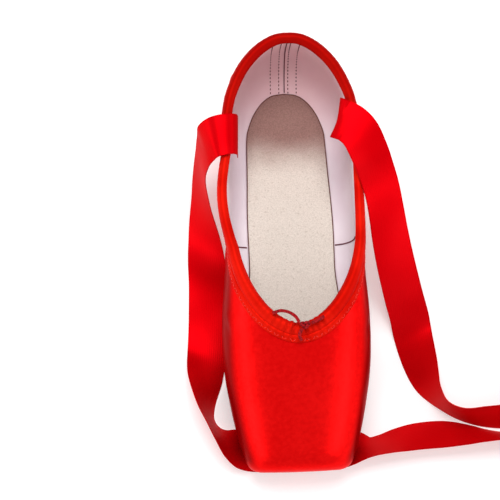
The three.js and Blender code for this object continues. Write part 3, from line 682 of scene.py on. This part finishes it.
def smooth_ring(values, width):
    """Averages values round a closed loop."""
    kernel = np.hanning(2 * width + 3)[1:-1]
    kernel /= kernel.sum()
    parts = [np.roll(values, k - width, axis=0) * w for k, w in enumerate(kernel)]
    return np.sum(parts, axis=0)


RIM_STEPS = 560
rim, RIM_LENGTH = top_line(RIM_STEPS)
rim = smooth_ring(rim, 4)
rim_along = unit(np.roll(rim, -1, axis=0) - np.roll(rim, 1, axis=0))
rim_out = unit(smooth_ring(normals_at(rim), 6))
rim_down = unit(np.cross(rim_along, rim_out))
print("top line", round(RIM_LENGTH), "mm round")


def below_rim(down, distance, hollow=False):
    """Points round the wall, this far below the top line and this far out of the surface."""
    p = onto(rim + rim_down * max(down, 0), rim_out, distance, hollow)
    return p + rim_down * min(down, 0)


# %% [markdown]
# ## A wall that gives way
# The cloth wall isn't stiff above the insole. In front of its ribbon the left quarter has given
# way and leans out. The last stays upright, and every sheet that stands there is moved by one soft
# function. It moves a sheet after its opening is cut, because the cut is drawn on the last.

# %% The quarter that leans out
GIVE_MIDDLE, GIVE_REACH, GIVE_OUT = 28.0, 28.0, 3.6
GIVE_FROM, GIVE_TALL = 24, 28


def give(points):
    """Moves points out to the left, most at the rim and at the middle of the quarter."""
    x, y, z = np.moveaxis(points, -1, 0)
    share = np.clip(1 - ((y - GIVE_MIDDLE) / GIVE_REACH) ** 2, 0, 1) ** 1.5
    share *= np.clip((z - GIVE_FROM) / GIVE_TALL, 0, 1) ** 1.5 * np.clip(-x / 20, 0, 1)
    return points - share[..., None] * (GIVE_OUT, 0, 0)


print("left rim leans out by up to", round(float(np.abs(give(rim) - rim).max()), 2), "mm")

# %% [markdown]
# ## Creases
# Satin pulled over a last never lies quite smooth. The cloth fans in small pleats where it is
# drawn under the toe and the heel, and long folds run up from the heel seat to the collar. Each
# fold is given as a line on the side of the shoe, a width and a height. Points near the
# line move out on one side of it and in on the other, as a soft ridge beside a soft trough. A
# side of 0 makes the fold on both sides of the shoe.

# %% Folds: side, (distance from the toe, height) points, width, height
FOLDS = [
    (0, [(221.5, 8), (220, 18), (216, 29), (209, 39), (200, 47)], 2.8, 2.3),
    (0, [(222.6, 11), (225, 20), (227, 30), (226, 40), (221, 47)], 2.2, 1.6),
    (1, [(218, 7), (214, 18), (207.5, 30), (199, 40)], 2.4, 1.5),
    (-1, [(217.4, 7), (212.6, 19), (206, 30), (197, 40)], 2.5, 1.7),
    (0, [(214.6, 6), (210.5, 16), (204, 27)], 2.2, 1.3),
    (1, [(209, 4.4), (203.4, 14), (196, 25), (187, 33)], 2.6, 1.2),
    (-1, [(209.6, 4.4), (203, 14), (197, 25), (190, 31)], 2.4, 1.1),
    (0, [(226.4, 14), (230.2, 22), (231.8, 32)], 1.5, 0.9),
    (1, [(200, 6), (190, 20), (180, 32), (170, 43)], 4.0, 1.0),
    (-1, [(198, 6), (188, 19), (179, 34), (173, 45)], 4.4, 1.0),
    (0, [(182, 10), (174, 24), (168, 38)], 4.0, 0.8),
    (0, [(146, 16), (141, 30), (138, 44)], 4.5, 0.5),
    (0, [(128, 18), (122, 32), (119, 46)], 4.5, -0.45),
    (1, [(30, 3.4), (26, 9), (21.5, 16)], 1.3, 0.75),
    (-1, [(31, 3.4), (27.5, 10), (22, 17)], 1.3, 0.75),
    (1, [(21, 2.8), (17, 9), (12, 15.6)], 1.5, 0.85),
    (-1, [(20, 2.8), (16, 8), (11, 14.6)], 1.5, 0.85),
    (1, [(37, 3.6), (35, 7), (32, 11)], 1.1, 0.55),
    (-1, [(38.5, 3.6), (36, 8), (33, 12)], 1.1, 0.55),
    (1, [(14, 2.6), (10, 7), (6.4, 12)], 1.2, 0.5),
    (-1, [(13, 2.6), (9.6, 7), (6, 12.4)], 1.2, 0.5),
    (1, [(84, 42), (78, 45), (70, 48)], 3.0, 0.4),
    (-1, [(86, 42), (79, 46), (71, 48)], 3.0, 0.45),
]


def fold_heights(points, normals):
    """How far every point of the skin moves out for all of the folds."""
    total = np.zeros(points.shape[:-1])
    for sides, line, width, height in FOLDS:
        for side in ((1, -1) if sides == 0 else (sides,)):
            at, up = np.array(line, float).T
            on = np.stack([side * side_width(at, up), at - LENGTH / 2, up], axis=1)
            on = through(on, 10)
            reach = 3.2 * width
            near = np.all((points > on.min(0) - reach) & (points < on.max(0) + reach), axis=-1)
            p = points[near]
            gap = p[:, None] - on[None]
            far = np.linalg.norm(gap, axis=2)
            k = far.argmin(axis=1)
            run = unit(np.gradient(on, axis=0))[k]
            across = np.cross(run, normals[near]) * side
            signed = np.sum(gap[np.arange(len(k)), k] * across, axis=1) / width
            share = k / (len(on) - 1)
            fade = np.clip(share * 5, 0, 1) * np.clip((1 - share) * 2.2, 0, 1)
            beyond = np.where((k == 0) | (k == len(on) - 1), far[np.arange(len(k)), k], 0)
            shape = (signed * np.exp(0.5 - signed ** 2 / 2) - 0.35 * np.exp(-signed ** 2))
            total[near] += height * shape * fade * np.exp(-(beyond / width) ** 2)
    return total


# %% Pleats that fan from the ends of the sole: distance from the toe, way, count, depth, height
FANS = [(46.0, -1, 23, 0.42, 15.0), (203.0, 1, 17, 0.36, 14.0)]
FAN_HALF_TURN = 1.9
FAN_SPAN = 2.5 * math.pi / FAN_HALF_TURN


def pleat_heights(points):
    x, y, z = np.moveaxis(points, -1, 0)
    at = y + LENGTH / 2
    total = np.zeros(x.shape)
    for centre, way, count, high, tall in FANS:
        turn = np.arctan2(x, way * (at - centre - way * 0.36 * z))
        pitch = rng.uniform(0.7, 1.3, count + 1)
        edges = np.cumsum(pitch) / pitch.sum() * FAN_SPAN - FAN_SPAN / 2
        strength = rng.uniform(0.5, 1.1, count + 2)
        k = np.clip(np.searchsorted(edges, turn), 1, count)
        share = np.clip((turn - edges[k - 1]) / (edges[k] - edges[k - 1]), 0, 1)
        wave = np.sin(np.pi * share ** 0.7) ** 1.3 - 0.5
        from_sole = np.hypot(x, at - centre)
        inner = np.clip((from_sole - 15) / 6, 0, 1) * (way * (at - centre) > -8)
        height = np.clip(1 - (z - 1.5) / (tall * strength[k]), 0, 1) ** 1.2
        total += high * strength[k] * wave * inner * height * (np.abs(turn) < FAN_HALF_TURN)
    return total


# %% [markdown]
# ## The satin upper
# The upper is the last's whole skin with two openings cut in it, for the foot and over the sole.
# The cut edges are drawn onto the two outlines, so they are clean under the binding and the sole.
# Solidify then gives the cloth its thickness, inwards. Ridges keep their height, but a trough is
# pressed flatter the deeper it gets, because a deep one would come out through the lining.

# %% Openings
OUTSOLE = np.array([
    (28, 0.6), (28.8, 8), (31, 13.6), (36, 18.6), (45, 22.4), (58, 24.8), (70, 25.2), (85, 23.2),
    (102, 19.4), (120, 17), (145, 17), (170, 18.8), (192, 20), (205, 18.6), (213, 14.8),
    (218, 10.4), (220.6, 6), (221.4, 0.6),
])
INSOLE = np.array([
    (15, 0.6), (16, 8), (19, 13.5), (26, 18.8), (38, 23), (54, 25.8), (72, 26.6), (92, 25.6),
    (112, 23.6), (135, 21.8), (165, 20.9), (188, 20.2), (198, 17.6), (205, 14), (210, 9.6),
    (212.4, 5.4), (213, 0.6),
])


def within(points, outline):
    """Whether points lie inside a closed outline, seen from above."""
    x, y = points[:, 0], points[:, 1]
    inside = np.zeros(len(points), bool)
    for (x1, y1), (x2, y2) in zip(outline, np.roll(outline, -1, axis=0)):
        crosses = (y1 > y) != (y2 > y)
        if y1 != y2:
            inside ^= crosses & (x < (x2 - x1) * (y - y1) / (y2 - y1) + x1)
    return inside


def sole_outline(table, inset, count=150):
    turn = (1 - np.cos(np.linspace(0, math.pi, count))) / 2
    at = table[0, 0] + (table[-1, 0] - table[0, 0]) * turn
    half = np.maximum(flow(table, 1, at) - inset, 0)
    at = np.clip(at, at[0] + inset, at[-1] - inset)
    return np.vstack([np.stack([half, at - LENGTH / 2], axis=1),
                      np.stack([-half, at - LENGTH / 2], axis=1)[::-1]])


def open_up(piece, rim_line, sole_line, waist=30.0):
    """Cuts the throat and the underside out of a skin, and draws the edges onto their lines."""
    mesh, points = piece.data, points_of(piece)
    throat = (points[:, 2] > waist) & within(points, rim_line[:, :2])
    under = (points[:, 2] < waist - 8) & within(points, sole_line)
    only(piece)
    bpy.context.tool_settings.mesh_select_mode = (True, False, False)
    bpy.ops.object.mode_set(mode="EDIT")
    bpy.ops.mesh.select_all(action="DESELECT")
    bpy.ops.object.mode_set(mode="OBJECT")
    mesh.vertices.foreach_set("select", throat | under)
    bpy.ops.object.mode_set(mode="EDIT")
    bpy.ops.mesh.delete(type="VERT")
    bpy.ops.mesh.select_all(action="DESELECT")
    bpy.ops.mesh.select_non_manifold(extend=False)
    bpy.ops.object.mode_set(mode="OBJECT")
    for vertex in mesh.vertices:
        if not vertex.select:
            continue
        p = np.array(vertex.co) / MM
        if p[2] > waist:
            vertex.co = rim_line[np.linalg.norm(rim_line - p, axis=1).argmin()] * MM
        else:
            near = sole_line[np.linalg.norm(sole_line - p[:2], axis=1).argmin()]
            vertex.co = (near[0] * MM, near[1] * MM, vertex.co.z)


# %% Make the upper
SKIN_SPACING, DEEPEST_TROUGH = 1.3, 0.7

skin_rows = skin(False, SKIN_SPACING, 74)
across = np.roll(skin_rows[:, :-1], -1, axis=1) - np.roll(skin_rows[:, :-1], 1, axis=1)
across = np.concatenate([across, across[:, :1]], axis=1)
skin_normals = unit(np.cross(np.gradient(skin_rows, axis=0), across))
move = fold_heights(skin_rows, skin_normals) + pleat_heights(skin_rows)
wave = np.sin(skin_rows[..., 1] * 0.11 + 1.1) * np.sin(skin_rows[..., 2] * 0.16 + 0.4)
move += 0.22 * wave * np.clip((skin_rows[..., 1] + 40) / 60, 0, 1)
move = np.where(move < 0, DEEPEST_TROUGH * np.tanh(move / DEEPEST_TROUGH), move)
toe_rows = len(skin_rows) - len(even_stations(SKIN_SPACING))
move[:toe_rows] = 0
print("folds move the satin by", round(float(move.min()), 2), "to", round(float(move.max()), 2), "mm")
upper = cloth("satin_upper", skin_rows + skin_normals * move[..., None])
edit(upper, ("remove_doubles", dict(threshold=0.05 * MM)),
     ("normals_make_consistent", dict(inside=False)))
open_up(upper, below_rim(1.2, 0.0), sole_outline(OUTSOLE, 5.0))
move_points(upper, give(points_of(upper)))
modify(upper, "SOLIDIFY", thickness=0.5 * MM, offset=-1)
done(upper, SATIN, "upper")

# %% [markdown]
# ## The lining
# The lining is the same form one wall further in, and smoother, so its grid is coarser. It stops
# just under the binding's inner fold.

# %% Make the lining
lining_rows = skin(True, 2.2, 44)
lining = cloth("lining", lining_rows)
edit(lining, ("remove_doubles", dict(threshold=0.05 * MM)),
     ("normals_make_consistent", dict(inside=False)))
open_up(lining, below_rim(1.4, 0.0, True), sole_outline(INSOLE, 4.0))
move_points(lining, give(points_of(lining)))
modify(lining, "SOLIDIFY", thickness=0.4 * MM, offset=1)
done(lining, LINING, None)

# %% [markdown]
# ## The binding
# A tape is folded over the opening's edge and stitched down, with the drawstring running inside
# it. It is swept round the top line: one outline, given as how far down the wall and how far out
# each point lies, moved along the frames. It has a round roll over the drawstring and a groove
# under the roll. Where the drawstring is pulled tight, at the throat, the tape puckers.

# %% The tape's outline: down the wall, out of the face, 1 where measured from the lining
TAPE_OUTLINE = [
    (8.7, 0.3, 0), (8.95, 0.6, 0), (8.6, 0.95, 0), (8.1, 0.95, 0), (7.7, 0.75, 0), (7.2, 0.95, 0),
    (6.2, 1.15, 0), (5.5, 1.05, 0), (5.0, 0.7, 0), (4.4, 1.4, 0), (3.4, 2.0, 0), (2.0, 2.2, 0),
    (0.6, 2.1, 0), (-0.6, 1.65, 0), (-1.45, 0.7, 0), (-1.7, -0.3, 0), (-1.5, -0.1, 1),
    (-0.8, -0.7, 1), (0.6, -0.9, 1), (2.2, -0.85, 1), (3.2, -0.8, 1), (3.6, -0.6, 1),
    (3.4, -0.45, 1), (1.6, -0.35, 1), (-0.3, -0.3, 1), (-0.4, 0.25, 0), (2.6, 0.25, 0),
    (6.0, 0.25, 0),
]
PUCKER_REACH = 13.0

run = np.arange(RIM_STEPS) / RIM_STEPS * RIM_LENGTH
from_front = np.minimum(run, RIM_LENGTH - run)
tight = np.exp(-(from_front / PUCKER_REACH) ** 2)
pucker = np.sin(run * 2 * math.pi / 3.1 + 1.4 * np.sin(run / 7.0))
pucker += 0.5 * np.sin(run * 2 * math.pi / 4.7 + 2.0)
pucker *= 0.02 + 0.36 * tight

places = np.stack([below_rim(down, out, bool(inner)) for down, out, inner in TAPE_OUTLINE], axis=1)
for k, (down, out, inner) in enumerate(TAPE_OUTLINE):
    if out > 0.6 and not inner and down < 8.6:
        places[:, k] += rim_out * (pucker * (1.3 if down < 4 else 0.9))[:, None]
    if down < -0.3:
        places[:, k] -= rim_down * (pucker * 0.7)[:, None]
places = np.concatenate([places, places[:1]], axis=0)
places = np.concatenate([places, places[:, :1]], axis=1)
binding = cloth("binding", give(places))
edit(binding, ("remove_doubles", dict(threshold=0.02 * MM)),
     ("normals_make_consistent", dict(inside=False)))
done(binding, TAPE, "collar_binding")

# %% [markdown]
# ## Insole and outsole
# Both are flat boards cut to shape and bent along the sole line. Each is a grid moved to its
# outline, thickened with Solidify and given a slight Bevel. The insole is a little wider from the
# arch back, and a thin dark tube round its edge is painted shade in the gap where it meets the
# lining.


# %% Boards
def board(name, table, height, thickness, bevel):
    steps, share = 110, np.linspace(-1, 1, 15)
    turn = (1 - np.cos(np.linspace(0, math.pi, steps))) / 2
    at = table[0, 0] + (table[-1, 0] - table[0, 0]) * turn
    half = flow(table, 1, at)
    y = np.repeat((at - LENGTH / 2)[:, None], len(share), axis=1)
    z = np.repeat(height(at)[:, None], len(share), axis=1)
    piece = cloth(name, np.stack([half[:, None] * share, y, z], axis=-1))
    modify(piece, "SOLIDIFY", thickness=thickness * MM, offset=-1)
    modify(piece, "BEVEL", width=bevel * MM, segments=2, limit_method="ANGLE",
           angle_limit=math.radians(50))
    return piece


def insole_top(at):
    return flow(SOLE_LINE, 1, at) + flow(LAST, WALL, at) + 5.7


def outsole_top(at):
    return flow(SOLE_LINE, 1, at) + 2.4


ARCH, CRISP = 120, math.radians(35)
wider = INSOLE[:, 1] * (1 + 0.09 * (INSOLE[:, 0] > ARCH))
wide_insole = np.column_stack([INSOLE[:, 0], wider])
insole = board("insole_board", wide_insole, insole_top, 1.8, 0.6)
done(insole, BOARD, "insole", smooth=CRISP)
# Painted shade: a thin dark tube round the insole, in the gap where it meets the lining.
edge = sole_outline(wide_insole, 0.0)
edge = np.column_stack([edge, insole_top(edge[:, 1] + LENGTH / 2) - 0.1])
done(tube("insole_gap_shade", edge, 0.32, True), BOARD_GAP_SHADE)
outsole = board("sole", OUTSOLE, outsole_top, 2.4, 0.5)
done(outsole, LEATHER, "outsole", smooth=CRISP)

# %% [markdown]
# ## Stitches and seams
# One stitch is a small bead of thread, drawn out and flattened. It is copied along each seam, each
# copy turned to its seam's direction. They are joined at the end, as one row of thread. Seams too
# fine to show single stitches are thin tubes.


# %% One stitch, and rows of them
def stitch_row(name, middles, runs, outs, length, width, material):
    bpy.ops.object.select_all(action="DESELECT")
    bpy.ops.mesh.primitive_uv_sphere_add(segments=6, ring_count=5, radius=0.5 * MM)
    bead = bpy.context.object
    bpy.ops.object.mode_set(mode="EDIT")
    bpy.ops.mesh.select_all(action="SELECT")
    bpy.ops.transform.resize(value=(width, width * 0.8, length))
    bpy.ops.object.mode_set(mode="OBJECT")
    shape = points_of(bead)
    copies = []
    for middle, run_way, out in zip(middles, unit(np.asarray(runs)), unit(np.asarray(outs))):
        side = np.cross(run_way, out)
        copy = bead.copy()
        copy.data = bead.data.copy()
        turned = shape[:, :1] * side + shape[:, 1:2] * out + shape[:, 2:] * run_way
        move_points(copy, turned + middle)
        bpy.context.scene.collection.objects.link(copy)
        copies.append(copy)
    bpy.data.objects.remove(bead)
    bpy.ops.object.select_all(action="DESELECT")
    for copy in copies:
        copy.select_set(True)
    bpy.context.view_layer.objects.active = copies[0]
    bpy.ops.object.join()
    piece = bpy.context.object
    piece.name = name
    return done(piece, material)


# %% Zigzag round the binding
ZIGZAG, ROW_BELOW_RIM, ROW_OUT = 230, 7.7, 0.95
pick = (np.arange(ZIGZAG) * RIM_STEPS / ZIGZAG).astype(int)
turn = np.where(np.arange(ZIGZAG) % 2 == 0, 0.9, -0.9)[:, None]
stitch_row("binding_stitches", give(below_rim(ROW_BELOW_RIM, ROW_OUT))[pick],
           rim_along[pick] + turn * rim_down[pick], rim_out[pick], 1.8, 0.36, THREAD)

# %% Double rows at the side seams
middles, runs, outs = [], [], []
for side in (1, -1):
    for seam_at in (150.6, 155.8):
        up = np.arange(flow(SOLE_LINE, 1, seam_at) + 6.5, 45.5, 2.9)
        lean_at = seam_at + (up - 25) * 0.06
        p = np.stack([side * side_width(lean_at, up), lean_at - LENGTH / 2, up], axis=1)
        out = normals_at(p)
        middles.append(give(p + out * 0.12))
        runs.append(np.gradient(p, axis=0))
        outs.append(out)
stitch_row("side_seam_stitches", np.vstack(middles), np.vstack(runs), np.vstack(outs), 1.9, 0.42,
           THREAD)

# %% Seams in the lining: the heel's needlework and one seam on each side
middles, runs, outs = [], [], []
fall = np.radians(np.linspace(-14, 74, 28))
heel_way = np.stack([fall * 0, np.cos(fall), -np.sin(fall)], axis=1)


def down_the_heel(across_at):
    start = np.tile((across_at, 86.0, 42.0), (len(fall), 1))
    return onto(start, heel_way, -0.1, True, 60.0)


for across_at in (-7.4, -2.6, 2.6, 7.4):
    p = down_the_heel(across_at)
    middles.append(p)
    runs.append(np.gradient(p, axis=0))
    outs.append(-heel_way)
stitch_row("heel_stitches", np.vstack(middles), np.vstack(runs), np.vstack(outs), 1.2, 0.7,
           LINING_THREAD)
done(tube("heel_seam", down_the_heel(0.5), 0.3), LINING_THREAD)
# The side seams are dark tubes: real seams, drawn dark as painted shade in their gap by the insole.
for side, name in ((1, "lining_seam_right"), (-1, "lining_seam_left")):
    up = np.arange(16.5, 34.0, 1.5)
    start = np.stack([up * 0 + side * 26.0, up * 0 + 6.0 + (up - 16) * 0.12, up], axis=1)
    line = onto(start, np.tile((side, 0.0, 0.0), (len(up), 1)), -0.15, True)
    done(tube(name, line, 0.4), LINING_THREAD)

# %% [markdown]
# ## Floor and light
# The shoe stands on a plain white sheet, which glows a little, so it stays white where the red
# cloth would tint it. A large soft light behind the heel is the main one, so the shadow falls
# towards the toe. Two long, low lights at the sides draw the bright bands along the toe box.

# %% Studio
bpy.ops.mesh.primitive_plane_add(size=8)
floor = bpy.context.object
floor.name = "floor"
g = Graph("paper")
floor.data.materials.append(g.finish(Base_Color=(0.78, 0.78, 0.78, 1), Roughness=0.95,
                                     Specular_IOR_Level=0.1, Emission_Color=(1, 1, 1, 1),
                                     Emission_Strength=0.3))


def soft_light(name, place, aim, size, power):
    light = bpy.data.lights.new(name, "AREA")
    light.shape, light.size, light.size_y, light.energy = "RECTANGLE", size[0], size[1], power
    lamp = bpy.data.objects.new(name, light)
    bpy.context.scene.collection.objects.link(lamp)
    lamp.location = place
    lamp.rotation_euler = (Vector(aim) - Vector(place)).to_track_quat("-Z", "Y").to_euler()
    print("light", name, "-", power, "W")


soft_light("key", (-0.06, 0.45, 1.18), (0, 0.02, 0.03), (0.7, 0.6), 12)
soft_light("left", (-0.98, -0.36, 0.36), (0, -0.04, 0.04), (1.5, 0.26), 7)
soft_light("right", (0.95, -0.36, 0.52), (0, -0.04, 0.04), (1.5, 0.28), 7)
world = bpy.context.scene.world or bpy.data.worlds.new("world")
bpy.context.scene.world = world
world.use_nodes = True
sky = world.node_tree.nodes["Background"]
sky.inputs["Color"].default_value = (1, 1, 1, 1)
sky.inputs["Strength"].default_value = 0.38
